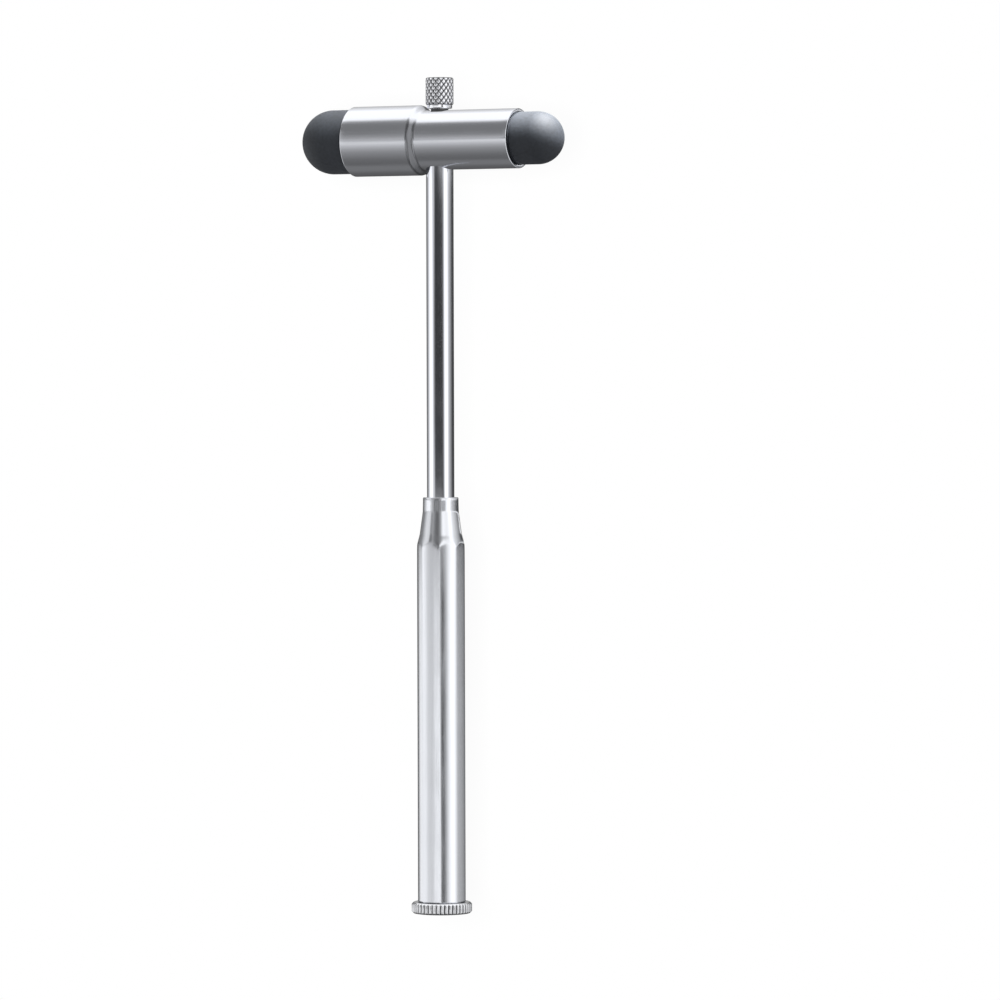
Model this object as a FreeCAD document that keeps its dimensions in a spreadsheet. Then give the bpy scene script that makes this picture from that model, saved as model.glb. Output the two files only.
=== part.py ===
"""Reflex hammer: T head with two rubber bumpers, thin shaft, octagonal grip,
a needle that screws out of the head and a brush that screws out of the grip.

Frame: the hammer's axis is X, with the end disc's outer face at X = 0 and the head towards +X.
The head's own axis is parallel to Y, with the large bumper on the +Y side. Millimetres throughout.
"""
import FreeCAD, Part
import math
import os
import re
import Sketcher

SIZES = {
    # head
    "large_barrel_dia": 15.1,
    "small_barrel_dia": 12.8,
    "large_reach": 20.5,  # from the shaft's axis to the large rim
    "small_reach": 19.1,
    "step_offset": 3.3,  # where the small barrel ends
    "step_width": 0.9,
    "step_round": 1.0,
    "rim_chamfer": 0.2,
    "large_wall": 0.6,
    "small_wall": 0.75,
    "large_socket_depth": 9.0,
    "small_socket_depth": 8.0,
    "spot_dia": 5.6,
    "spot_depth": 0.4,
    # bumpers
    "large_bumper_show": 5.25,  # straight part outside the barrel, before the nose
    "small_bumper_show": 4.55,
    "bumper_edge": 0.5,
    # shaft
    "shaft_dia": 5.9,
    "shaft_bore": 3.6,
    "shaft_length": 70.35,  # between grip and head
    "shaft_in_grip": 10.0,
    # grip
    "grip_flats": 9.7,
    "grip_edge_round": 0.25,
    "grip_length": 76.95,
    "shoulder_length": 2.2,
    "shoulder_dia": 9.1,
    "cone_length": 5.0,
    "cone_dia": 7.75,
    "collar_length": 3.0,
    "collar_dia": 7.63,
    "collar_chamfer": 0.2,
    "mouth_chamfer": 0.25,
    "grip_wall": 0.45,
    "chamber_spare": 1.6,  # room past the bristles' tips
    "drill_point": 2.6,
    "socket_length": 6.9,
    # needle
    "knurl_dia": 6.0,
    "knurl_length": 5.85,
    "knurl_chamfer": 0.25,
    "knob_collar_dia": 5.4,
    "knob_collar_length": 0.75,
    "knob_relief_dia": 3.8,
    "knob_relief_length": 0.75,
    "needle_neck_dia": 2.6,
    "needle_neck_length": 1.64,
    "needle_thread_dia": 3.1,
    "needle_thread_length": 2.66,
    "pin_dia": 1.4,
    "pin_length": 26.7,
    "pin_point": 3.9,
    "pin_seat": 3.0,
    # brush
    "disc_dia": 13.0,
    "disc_thickness": 2.35,
    "disc_chamfer": 0.4,
    "serration_depth": 0.28,
    "serration_count": 44,
    "brush_neck_dia": 6.1,
    "brush_neck_length": 1.5,
    "brush_thread_dia": 7.3,
    "brush_thread_length": 5.1,
    "spigot_length": 4.0,
    "ferrule_dia": 6.07,
    "ferrule_wall": 0.4,
    "ferrule_length": 19.8,
    "ferrule_lip_dia": 4.7,
    "ferrule_chamfer": 0.3,
    "root_length": 8.0,
    "tuft_base_dia": 4.5,
    "tuft_low_dia": 5.9,
    "tuft_high_dia": 7.2,
    "tuft_length": 15.6,  # outside the ferrule
    # fits
    "thread_gap": 0.05,  # round each screw thread
    "press_gap": 0.01,  # round what is pressed in
    "slide_gap": 0.03,  # round the pin in its knob
    "stub_gap": 0.4,  # between the needle's stub and the shaft's end
    "brush_gap": 0.3,  # between the bristles and their chamber
}

doc = FreeCAD.newDocument("reflex_hammer")
sheet = doc.addObject("Spreadsheet::Sheet", "size")
for row, (alias, number) in enumerate(SIZES.items(), 1):
    sheet.set("A%d" % row, alias)
    sheet.set("B%d" % row, str(number))
    sheet.setAlias("B%d" % row, alias)
doc.recompute()

# positions along the hammer's axis, each written once
GRIP_TOP = "disc_thickness + grip_length + shoulder_length + cone_length + collar_length"
HEAD_AXIS = GRIP_TOP + " + shaft_length + small_barrel_dia / 2"
NEEDLE_SEAT = HEAD_AXIS + " + small_barrel_dia / 2 - spot_depth"
STUB_LENGTH = "(needle_neck_length + needle_thread_length)"
SHAFT_END = "small_barrel_dia / 2 - spot_depth - %s - stub_gap" % STUB_LENGTH  # past the head's axis
FERRULE_BASE = "disc_thickness + brush_neck_length + brush_thread_length"
LARGE_BORE = "(large_barrel_dia - 2 * large_wall)"
SMALL_BORE = "(small_barrel_dia - 2 * small_wall)"
CHAMBER_DIA = "(grip_flats - 2 * grip_wall)"


def bound(text):
    """The expression with each size's name pointed at the sheet."""
    return re.sub(r"[a-z_]+", lambda m: "size." + m[0] if m[0] in SIZES else m[0], text)


def plane(body, role):
    return next(f for f in body.Origin.OriginFeatures if f.Role == role)


def new_sketch(body, role, name):
    sketch = body.newObject("Sketcher::SketchObject", name)
    sketch.AttachmentSupport = [(plane(body, role), "")]
    sketch.MapMode = "FlatFace"
    return sketch


def fix_point(sketch, side, text, direction):
    """Hold the start of a side at a distance from the origin along one direction."""
    if text == "0":
        sketch.addConstraint(Sketcher.Constraint(direction, -1, 1, side, 1, 0.0))
        return
    index = sketch.addConstraint(Sketcher.Constraint(direction, -1, 1, side, 1, 1.0))
    sketch.setExpression("Constraints[%d]" % index, bound(text))


def draw_outline(sketch, corners):
    """Draw the closed outline through the corners, each a pair of expressions."""
    count = len(corners)
    turns = [2 * math.pi * i / count for i in range(count)]
    spread = [FreeCAD.Vector(math.cos(turn), math.sin(turn), 0) for turn in turns]
    sides = [Part.LineSegment(spread[i], spread[(i + 1) % count]) for i in range(count)]
    sketch.addGeometry(sides, False)
    for i, (across, up) in enumerate(corners):
        sketch.addConstraint(Sketcher.Constraint("Coincident", i, 2, (i + 1) % count, 1))
        fix_point(sketch, i, across, "DistanceX")
        fix_point(sketch, i, up, "DistanceY")


def draw_nose(sketch, corners):
    """Draw an outline whose last corner runs into a quarter circle down to the sketch's H axis."""
    sides = []
    for i in range(len(corners) - 1):
        sides.append(Part.LineSegment(FreeCAD.Vector(i, i, 0), FreeCAD.Vector(i + 1, i + 1, 0)))
    sketch.addGeometry(sides, False)
    last = len(sides) - 1
    for i, (across, up) in enumerate(corners[:-1]):
        fix_point(sketch, i, across, "DistanceX")
        fix_point(sketch, i, up, "DistanceY")
        if i < last:
            sketch.addConstraint(Sketcher.Constraint("Coincident", i, 2, i + 1, 1))
    index = sketch.addConstraint(Sketcher.Constraint("DistanceX", -1, 1, last, 2, 1.0))
    sketch.setExpression("Constraints[%d]" % index, bound(corners[-1][0]))
    index = sketch.addConstraint(Sketcher.Constraint("DistanceY", -1, 1, last, 2, 1.0))
    sketch.setExpression("Constraints[%d]" % index, bound(corners[-1][1]))
    doc.recompute()
    top = sketch.Geometry[last].EndPoint
    centre = FreeCAD.Vector(top.x, 0, 0)
    tip = FreeCAD.Vector(top.x + top.y, 0, 0)
    circle = Part.Circle(centre, FreeCAD.Vector(0, 0, 1), top.y)
    arc = sketch.addGeometry(Part.ArcOfCircle(circle, 0, math.pi / 2), False)
    base = sketch.addGeometry(Part.LineSegment(tip, FreeCAD.Vector(0, 0, 0)), False)
    for constraint in (
        Sketcher.Constraint("Coincident", arc, 2, last, 2),
        Sketcher.Constraint("PointOnObject", arc, 3, -1),
        Sketcher.Constraint("Vertical", arc, 3, last, 2),
        Sketcher.Constraint("Coincident", arc, 1, base, 1),
        Sketcher.Constraint("PointOnObject", arc, 1, -1),
        Sketcher.Constraint("Coincident", base, 2, 0, 1),
    ):
        sketch.addConstraint(constraint)


def new_body(label, along="0", across="0", turn=0):
    """A body placed at X = along and Y = across, turned about Z."""
    body = doc.addObject("PartDesign::Body", label)
    body.Label = label
    body.Placement = FreeCAD.Placement(
        FreeCAD.Vector(0, 0, 0), FreeCAD.Rotation(FreeCAD.Vector(0, 0, 1), turn)
    )
    if along != "0":
        body.setExpression("Placement.Base.x", bound(along))
    if across != "0":
        body.setExpression("Placement.Base.y", bound(across))
    return body


def revolve(body, name, corners, kind="Revolution", axis="H_Axis", draw=draw_outline):
    """Turn an outline drawn on the XY plane about one of the sketch's axes."""
    sketch = new_sketch(body, "XY_Plane", name + "_profile")
    draw(sketch, corners)
    feature = body.newObject("PartDesign::" + kind, name)
    feature.Profile = sketch
    feature.ReferenceAxis = (sketch, [axis])
    feature.Angle = 360.0
    doc.recompute()
    return feature


def ring_edges(feature, radius, axis, place):
    """Names of the feature's round edges of this radius, at this place along the axis."""
    names = []
    for i, edge in enumerate(feature.Shape.Edges, 1):
        if not isinstance(edge.Curve, Part.Circle):
            continue
        at = getattr(edge.Curve.Center, axis)
        if abs(edge.Curve.Radius - radius) < 1e-4 and abs(at - place) < 1e-4:
            names.append("Edge%d" % i)
    return names


def soften(body, name, feature, edges, size, kind="Fillet"):
    """Round or chamfer the named edges by a size from the sheet."""
    finish = body.newObject("PartDesign::" + kind, name)
    finish.Base = (feature, edges)
    finish.setExpression("Radius" if kind == "Fillet" else "Size", bound(size))
    doc.recompute()
    return finish


def head_barrel():
    """Turned T head: stepped barrel, a blind socket at each end and a stepped cross hole."""
    body = new_body("head_barrel", along=HEAD_AXIS)
    barrel = revolve(
        body,
        "barrel",
        [
            ("0", "-(small_reach - small_socket_depth)"),
            (SMALL_BORE + " / 2", "-(small_reach - small_socket_depth)"),
            (SMALL_BORE + " / 2", "-small_reach"),
            ("small_barrel_dia / 2", "-small_reach"),
            ("small_barrel_dia / 2", "step_offset"),
            ("large_barrel_dia / 2", "step_offset + step_width"),
            ("large_barrel_dia / 2", "large_reach"),
            (LARGE_BORE + " / 2", "large_reach"),
            (LARGE_BORE + " / 2", "large_reach - large_socket_depth"),
            ("0", "large_reach - large_socket_depth"),
        ],
        axis="V_Axis",
    )
    small, large = sheet.small_barrel_dia / 2, sheet.large_barrel_dia / 2
    foot = ring_edges(barrel, small, "y", sheet.step_offset)
    crest = ring_edges(barrel, large, "y", sheet.step_offset + sheet.step_width)
    step = soften(body, "step_blend", barrel, foot + crest, "step_round")
    small_rim = ring_edges(step, small, "y", -sheet.small_reach)
    large_rim = ring_edges(step, large, "y", sheet.large_reach)
    soften(body, "rims", step, small_rim + large_rim, "rim_chamfer", "Chamfer")
    radius = "small_barrel_dia / 2"
    shaft_radius = "shaft_dia / 2 + press_gap"
    thread_radius = "needle_thread_dia / 2 + thread_gap"
    floor = radius + " - spot_depth"
    revolve(
        body,
        "cross_hole",
        [
            ("-small_barrel_dia", "0"),
            ("-small_barrel_dia", shaft_radius),
            (SHAFT_END, shaft_radius),
            (SHAFT_END, thread_radius),
            (floor, thread_radius),
            (floor, "spot_dia / 2"),
            ("small_barrel_dia", "spot_dia / 2"),
            ("small_barrel_dia", "0"),
        ],
        kind="Groove",
    )
    return body


def bumper(label, reach, socket_depth, bore, show, side):
    """Rubber bumper: a plug that fills its socket and runs out into a round nose."""
    across = "%s (%s - %s)" % ("" if side > 0 else "-", reach, socket_depth)
    body = new_body(label, along=HEAD_AXIS, across=across.strip(), turn=90 * side)
    radius = "%s / 2 - press_gap" % bore
    revolve(
        body,
        label + "_moulded",
        [
            ("0", "0"),
            ("0", radius + " - bumper_edge"),
            ("bumper_edge", radius),
            ("%s + %s" % (socket_depth, show), radius),
        ],
        draw=draw_nose,
    )
    return body


def shaft_tube():
    """Thin tube from its seat in the grip to its seat in the head."""
    body = new_body("shaft_tube", along=GRIP_TOP + " - shaft_in_grip")
    length = "shaft_in_grip + shaft_length + small_barrel_dia / 2 + " + SHAFT_END
    revolve(
        body,
        "tube",
        [
            ("0", "shaft_bore / 2"),
            ("0", "shaft_dia / 2"),
            (length, "shaft_dia / 2"),
            (length, "shaft_bore / 2"),
        ],
    )
    return body


def grip_body():
    """Octagonal bar, turned to a cone and collar at the top and bored from both ends."""
    body = new_body("grip_body", along="disc_thickness")
    sketch = new_sketch(body, "YZ_Plane", "octagon")
    flat = "grip_flats / 2"
    half_side = "grip_flats / 2 * (sqrt(2) - 1)"
    octagon = [(flat, half_side), (half_side, flat)]
    octagon += [("-" + a, b) for a, b in reversed(octagon)]
    octagon += [(across, "-" + up) for across, up in reversed(octagon)]
    draw_outline(sketch, octagon)
    bar = body.newObject("PartDesign::Pad", "bar")
    bar.Profile = sketch
    whole = "grip_length + shoulder_length + cone_length + collar_length"
    bar.setExpression("Length", bound(whole))
    doc.recompute()
    length = bar.Length.Value
    corners = [
        "Edge%d" % i for i, edge in enumerate(bar.Shape.Edges, 1) if edge.Length > length * 0.99
    ]
    soften(body, "bar_corners", bar, corners, "grip_edge_round")
    shoulder_end = "grip_length + shoulder_length"
    cone_end = shoulder_end + " + cone_length"
    turned = revolve(
        body,
        "turned_end",
        [
            ("grip_length", "grip_flats"),
            ("grip_length", "grip_flats / 2 / cos(22.5 deg)"),
            (shoulder_end, "shoulder_dia / 2"),
            (cone_end, "cone_dia / 2"),
            (whole, "collar_dia / 2"),
            (whole + " + 1", "collar_dia / 2"),
            (whole + " + 1", "grip_flats"),
        ],
        kind="Groove",
    )
    top = ring_edges(turned, sheet.collar_dia / 2, "x", length)
    soften(body, "collar_edge", turned, top, "collar_chamfer", "Chamfer")
    depth = "(%s + ferrule_length + tuft_length - disc_thickness + chamber_spare)" % FERRULE_BASE
    revolve(
        body,
        "chamber",
        [
            ("-1", "0"),
            ("-1", CHAMBER_DIA + " / 2"),
            (depth, CHAMBER_DIA + " / 2"),
            (depth + " + drill_point", "0"),
        ],
        kind="Groove",
    )
    revolve(
        body,
        "shaft_seat",
        [
            (whole + " - shaft_in_grip", "0"),
            (whole + " - shaft_in_grip", "shaft_dia / 2 + press_gap"),
            (whole + " + 1", "shaft_dia / 2 + press_gap"),
            (whole + " + 1", "0"),
        ],
        kind="Groove",
    )
    return body


def brush_socket():
    """Threaded bush pressed into the grip's mouth."""
    body = new_body("brush_socket", along="disc_thickness")
    inner = "brush_thread_dia / 2 + thread_gap"
    outer = CHAMBER_DIA + " / 2 - press_gap"
    revolve(
        body,
        "bush",
        [
            ("0", inner + " + mouth_chamfer"),
            ("0", outer),
            ("socket_length", outer),
            ("socket_length", inner + " + mouth_chamfer"),
            ("socket_length - mouth_chamfer", inner),
            ("mouth_chamfer", inner),
        ],
    )
    return body


def needle_knob():
    """Knurled knob with its collar, shoulder, neck and threaded stub, bored for the pin."""
    body = new_body("needle_knob", along=NEEDLE_SEAT)
    stub = "-" + STUB_LENGTH
    collar_end = "knob_relief_length + knob_collar_length"
    knurl_end = collar_end + " + knurl_length"
    pin_radius = "pin_dia / 2 + slide_gap"
    revolve(
        body,
        "knob",
        [
            (stub, pin_radius),
            (stub, "needle_thread_dia / 2"),
            ("-needle_neck_length", "needle_thread_dia / 2"),
            ("-needle_neck_length", "needle_neck_dia / 2"),
            ("0", "needle_neck_dia / 2"),
            ("0", "knob_relief_dia / 2"),
            ("knob_relief_length", "knob_relief_dia / 2"),
            ("knob_relief_length", "knob_collar_dia / 2"),
            (collar_end, "knob_collar_dia / 2"),
            (collar_end, "knurl_dia / 2 - knurl_chamfer"),
            (collar_end + " + knurl_chamfer", "knurl_dia / 2"),
            (knurl_end + " - knurl_chamfer", "knurl_dia / 2"),
            (knurl_end, "knurl_dia / 2 - knurl_chamfer"),
            (knurl_end, "0"),
            (stub + " + pin_seat", "0"),
            (stub + " + pin_seat", pin_radius),
        ],
    )
    return body


def needle_pin():
    """Steel pin with a long conical point, held in the knob's stub."""
    body = new_body("needle_pin", along="%s - %s - pin_length" % (NEEDLE_SEAT, STUB_LENGTH))
    length = "pin_length + pin_seat - slide_gap"
    revolve(
        body,
        "pin",
        [
            ("0", "0"),
            ("pin_point", "pin_dia / 2"),
            (length, "pin_dia / 2"),
            (length, "0"),
        ],
    )
    return body


def brush_disc():
    """Serrated end disc with its relief neck, threaded plug and the ferrule's spigot."""
    body = new_body("brush_disc")
    neck_end = "disc_thickness + brush_neck_length"
    spigot = "ferrule_dia / 2 - ferrule_wall - press_gap"
    disc = revolve(
        body,
        "disc",
        [
            ("0", "0"),
            ("0", "disc_dia / 2 - disc_chamfer"),
            ("disc_chamfer", "disc_dia / 2"),
            ("disc_thickness - disc_chamfer", "disc_dia / 2"),
            ("disc_thickness", "disc_dia / 2 - disc_chamfer"),
            ("disc_thickness", "brush_neck_dia / 2"),
            (neck_end, "brush_neck_dia / 2"),
            (neck_end, "brush_thread_dia / 2"),
            (FERRULE_BASE, "brush_thread_dia / 2"),
            (FERRULE_BASE, spigot),
            (FERRULE_BASE + " + spigot_length", spigot),
            (FERRULE_BASE + " + spigot_length", "0"),
        ],
    )
    sketch = new_sketch(body, "YZ_Plane", "notch")
    draw_outline(
        sketch,
        [
            ("disc_dia / 2 - serration_depth", "0"),
            ("disc_dia / 2 + serration_depth", "1.2 * serration_depth"),
            ("disc_dia / 2 + serration_depth", "-1.2 * serration_depth"),
        ],
    )
    notch = body.newObject("PartDesign::Pocket", "serration")
    notch.Profile = sketch
    notch.Type = "Length"
    notch.Reversed = True
    notch.setExpression("Length", bound("disc_thickness"))
    doc.recompute()
    ring = body.newObject("PartDesign::PolarPattern", "serrations")
    ring.Originals = [notch]
    ring.Axis = (plane(body, "X_Axis"), [""])
    ring.Angle = 360
    ring.setExpression("Occurrences", bound("serration_count"))
    body.Tip = ring
    doc.recompute()
    if ring.Shape.Volume >= disc.Shape.Volume:
        raise RuntimeError("the serrations cut nothing")
    return body


def brush_ferrule():
    """Thin tube over the spigot, its far end turned in round the bristles."""
    body = new_body("brush_ferrule", along=FERRULE_BASE)
    inner = "ferrule_dia / 2 - ferrule_wall"
    tube = revolve(
        body,
        "ferrule",
        [
            ("0", inner),
            ("0", "ferrule_dia / 2"),
            ("ferrule_length", "ferrule_dia / 2"),
            ("ferrule_length", "ferrule_lip_dia / 2"),
            ("ferrule_length - ferrule_wall", "ferrule_lip_dia / 2"),
            ("ferrule_length - ferrule_wall", inner),
        ],
    )
    lip = ring_edges(tube, sheet.ferrule_dia / 2, "x", sheet.ferrule_length)
    soften(body, "lip", tube, lip, "ferrule_chamfer", "Chamfer")
    return body


def bristle_root():
    """Set resin that holds the bristles behind the ferrule's lip."""
    start = "%s + ferrule_length - ferrule_wall - root_length" % FERRULE_BASE
    body = new_body("bristle_root", along=start)
    radius = "ferrule_dia / 2 - ferrule_wall - press_gap"
    revolve(
        body,
        "root",
        [("0", "0"), ("0", radius), ("root_length", radius), ("root_length", "0")],
    )
    return body


def brush_bristles():
    """The tuft's outer shape, spreading from the ferrule to its tips."""
    body = new_body("brush_bristles", along="%s + ferrule_length - ferrule_wall" % FERRULE_BASE)
    tips = "ferrule_wall + tuft_length"
    revolve(
        body,
        "tuft",
        [
            ("0", "0"),
            ("0", "tuft_base_dia / 2"),
            ("ferrule_wall", "tuft_base_dia / 2"),
            ("ferrule_wall + 0.3 * tuft_length", "tuft_low_dia / 2"),
            ("ferrule_wall + 0.65 * tuft_length", "tuft_high_dia / 2"),
            (tips, CHAMBER_DIA + " / 2 - brush_gap"),
            (tips, "0"),
        ],
    )
    return body


pieces = [
    head_barrel(),
    bumper("large_bumper", "large_reach", "large_socket_depth", LARGE_BORE, "large_bumper_show", 1),
    bumper("small_bumper", "small_reach", "small_socket_depth", SMALL_BORE, "small_bumper_show", -1),
    shaft_tube(),
    grip_body(),
    brush_socket(),
    needle_knob(),
    needle_pin(),
    brush_disc(),
    brush_ferrule(),
    bristle_root(),
    brush_bristles(),
]
doc.recompute()

for thing in doc.Objects:
    if "Invalid" in thing.State or "Error" in thing.State:
        raise RuntimeError("%s failed to compute" % thing.Label)
for piece in pieces:
    if piece.Shape.isNull() or not piece.Shape.isValid() or len(piece.Shape.Solids) != 1:
        raise RuntimeError("%s is not one sound solid" % piece.Label)

os.makedirs("parts", exist_ok=True)
for piece in pieces:
    piece.Shape.exportStep("parts/%s.step" % piece.Label)
    box = piece.Shape.optimalBoundingBox(False, False)
    print(
        "%-15s volume %8.1f  x %7.2f..%7.2f  y %7.2f..%7.2f  z %6.2f..%6.2f"
        % (piece.Label, piece.Shape.Volume, box.XMin, box.XMax, box.YMin, box.YMax, box.ZMin, box.ZMax)
    )
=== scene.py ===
import math
import bpy
import numpy as np
from mathutils import Matrix, Vector


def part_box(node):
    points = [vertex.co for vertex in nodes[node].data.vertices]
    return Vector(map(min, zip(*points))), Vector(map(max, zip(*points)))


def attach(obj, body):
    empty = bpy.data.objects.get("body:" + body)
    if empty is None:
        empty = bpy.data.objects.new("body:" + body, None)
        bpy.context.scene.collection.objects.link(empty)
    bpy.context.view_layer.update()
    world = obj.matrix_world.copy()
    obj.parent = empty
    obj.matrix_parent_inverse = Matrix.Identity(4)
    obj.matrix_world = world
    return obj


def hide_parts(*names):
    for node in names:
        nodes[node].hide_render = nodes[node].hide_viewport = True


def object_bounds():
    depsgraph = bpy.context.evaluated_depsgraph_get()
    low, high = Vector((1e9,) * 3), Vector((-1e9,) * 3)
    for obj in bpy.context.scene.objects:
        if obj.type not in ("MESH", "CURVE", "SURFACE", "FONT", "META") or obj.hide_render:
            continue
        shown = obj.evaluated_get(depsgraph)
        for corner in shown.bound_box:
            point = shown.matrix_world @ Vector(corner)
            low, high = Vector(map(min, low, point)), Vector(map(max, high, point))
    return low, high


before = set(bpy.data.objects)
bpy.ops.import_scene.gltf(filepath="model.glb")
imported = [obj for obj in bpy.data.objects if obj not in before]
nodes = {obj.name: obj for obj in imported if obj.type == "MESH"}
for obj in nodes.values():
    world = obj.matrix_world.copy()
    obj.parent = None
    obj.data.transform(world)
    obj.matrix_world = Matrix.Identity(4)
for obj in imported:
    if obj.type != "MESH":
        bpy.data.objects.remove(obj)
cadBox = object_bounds()
scene = bpy.context.scene
scene.view_settings.view_transform = "Standard"
mm = 0.001
print("frame loaded:", len(nodes), "CAD nodes")


# ---- camera ----
# lens axis square to the shaft, level with its upper half, the small bumper turned towards it
view = {"turn": 27.0, "distance": 1.2, "level": 0.1193, "aimAlong": 0.0889, "aside": 0.01275,
        "frameHeight": 0.215, "roll": -0.149, "sensor": 36.0}

turn = math.radians(view["turn"])
towards = Vector((0, -math.sin(turn), math.cos(turn)))
rightWay = Vector((0, -math.cos(turn), -math.sin(turn)))
cameraAt = Vector((view["level"], 0, 0)) + rightWay * view["aside"] + towards * view["distance"]
aim = Vector((view["aimAlong"], 0, 0)) + rightWay * view["aside"]
back = (cameraAt - aim).normalized()
right = Vector((1, 0, 0)).cross(back).normalized()
up = back.cross(right)
cameraData = bpy.data.cameras.new("camera")
cameraData.sensor_width = view["sensor"]
cameraData.lens = view["sensor"] * view["distance"] / view["frameHeight"]
cameraData.clip_end = 20
camera = bpy.data.objects.new("camera", cameraData)
scene.collection.objects.link(camera)
facing = Matrix((right, up, back)).transposed().to_4x4()
rolled = Matrix.Rotation(math.radians(view["roll"]), 4, "Z")
camera.matrix_world = Matrix.Translation(cameraAt) @ facing @ rolled
scene.camera = camera
print("camera placed")


# ---- small helpers ----
def hexLinear(code):
    # an sRGB hex colour as the linear numbers that shaders use
    parts = np.array([int(code[i:i + 2], 16) for i in (1, 3, 5)]) / 255
    linear = np.where(parts <= 0.04045, parts / 12.92, ((parts + 0.055) / 1.055) ** 2.4)
    return (*linear.tolist(), 1.0)


def dimmed(colour, share):
    # the colour times a share, opaque
    return (*(share * part for part in colour[:3]), 1.0)


def addNode(tree, kind, settings=None, links=None):
    # one node with its settings, and the outputs that feed its inputs
    node = tree.nodes.new(kind)
    for key, value in (settings or {}).items():
        if isinstance(key, str) and hasattr(node, key):
            setattr(node, key, value)
        else:
            node.inputs[key].default_value = value
    for key, source in (links or {}).items():
        tree.links.new(source, node.inputs[key])
    return node


def compute(tree, operation, *terms):
    # the result of a Math node, whose terms are numbers or other nodes' outputs
    numbers = {i: term for i, term in enumerate(terms) if isinstance(term, (int, float))}
    outputs = {i: term for i, term in enumerate(terms) if i not in numbers}
    return addNode(tree, "ShaderNodeMath", {"operation": operation, **numbers}, outputs).outputs[0]


def smoothShare(tree, value, zero, one):
    # 0 to 1, rising smoothly while the value goes from zero to one
    span = {"interpolation_type": "SMOOTHSTEP", "From Min": zero, "From Max": one}
    return addNode(tree, "ShaderNodeMapRange", span, {"Value": value}).outputs[0]


def fillRamp(ramp, stops):
    # a colour ramp's stops, as pairs of place and grey level
    elements = ramp.color_ramp.elements
    while len(elements) > 1:
        elements.remove(elements[-1])
    elements[0].position = stops[0][0]
    elements[0].color = (stops[0][1],) * 3 + (1,)
    for place, grey in stops[1:]:
        element = elements.new(place)
        element.color = (grey,) * 3 + (1,)


def newMaterial(name):
    material = bpy.data.materials.new(name)
    material.use_nodes = True
    tree = material.node_tree
    tree.nodes.clear()
    shader = tree.nodes.new("ShaderNodeBsdfPrincipled")
    addNode(tree, "ShaderNodeOutputMaterial", None, {"Surface": shader.outputs["BSDF"]})
    return material, tree, shader


def giveMaterial(thing, material):
    thing.data.materials.clear()
    thing.data.materials.append(material)


# ---- surfaces ----
def roundCorners(corners):
    # each corner (along, out, radius) becomes an arc between the points where a circle of that
    # radius touches its two sides: centre plus radius times the turned direction
    points = []
    count = len(corners)
    for i, (along, out, radius) in enumerate(corners):
        here = np.array([along, out])
        if radius == 0 or i in (0, count - 1):
            points.append(here)
            continue
        before = np.array(corners[i - 1][:2]) - here
        after = np.array(corners[i + 1][:2]) - here
        before = before / np.linalg.norm(before)
        after = after / np.linalg.norm(after)
        half = math.acos(np.clip(before @ after, -1, 1)) / 2
        middle = (before + after) / np.linalg.norm(before + after)
        centre = here + middle * radius / math.sin(half)
        first = here + before * radius / math.tan(half) - centre
        last = here + after * radius / math.tan(half) - centre
        steps = 7 if radius < 1 else 17
        share = np.linspace(0, 1, steps)[:, None]
        chord = first * (1 - share) + last * share
        points.extend(centre + radius * chord / np.linalg.norm(chord, axis=1)[:, None])
    return np.array(points)


def spinProfile(profile, angles):
    # a profile of (along, out) carried round the X axis: (along, out cos t, out sin t), where out
    # is one number a row or one for each angle
    along, out = profile[0], profile[1]
    out = out[:, None] if out.ndim == 1 else out
    rows = np.empty((len(along), len(angles), 3))
    rows[:, :, 0] = along[:, None]
    rows[:, :, 1] = out * np.cos(angles)
    rows[:, :, 2] = out * np.sin(angles)
    return rows


def evenAngles(columns):
    return np.arange(columns) * 2 * np.pi / columns


def turnedMesh(name, rows, ring=False, sharp=35.0):
    # a grid of rings (ring, place round it, xyz), joined round and closed by a pole at each end,
    # or with its last ring joined to its first
    rings, columns = rows.shape[:2]
    points = rows.reshape(-1, 3)
    spans = rings if ring else rings - 1
    row, column = np.meshgrid(np.arange(spans), np.arange(columns), indexing="ij")
    following = (column + 1) % columns
    nextRow = (row + 1) % rings
    quads = np.stack([row * columns + column, row * columns + following,
                      nextRow * columns + following, nextRow * columns + column], axis=-1).reshape(-1, 4)
    faces = quads.tolist()
    if not ring:
        around = np.arange(columns)
        after = (around + 1) % columns
        pole = rings * columns
        last = (rings - 1) * columns
        points = np.vstack([points, rows[0].mean(axis=0), rows[-1].mean(axis=0)])
        faces += np.stack([np.full(columns, pole), after, around], axis=1).tolist()
        faces += np.stack([np.full(columns, pole + 1), last + around, last + after], axis=1).tolist()
    return meshObject(name, points, faces, sharp)


def rowKeeper(angles):
    # a function that adds a ring at a place along X, of one radius or one for each angle, and a
    # function that returns the grid of all the rings added
    along, out = [], []

    def addRow(place, radius):
        along.append(place)
        out.append(np.broadcast_to(radius, angles.shape))

    def grid():
        return spinProfile((np.array(along), np.array(out)), angles)

    return addRow, grid


def fillRows(profile, longest):
    # the profile with points added so that no step is longer than this
    points = [profile[0]]
    for end in profile[1:]:
        start = points[-1]
        count = max(1, math.ceil(np.linalg.norm(end - start) / longest))
        points.extend(start + (end - start) * k / count for k in range(1, count + 1))
    return np.array(points)


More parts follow.
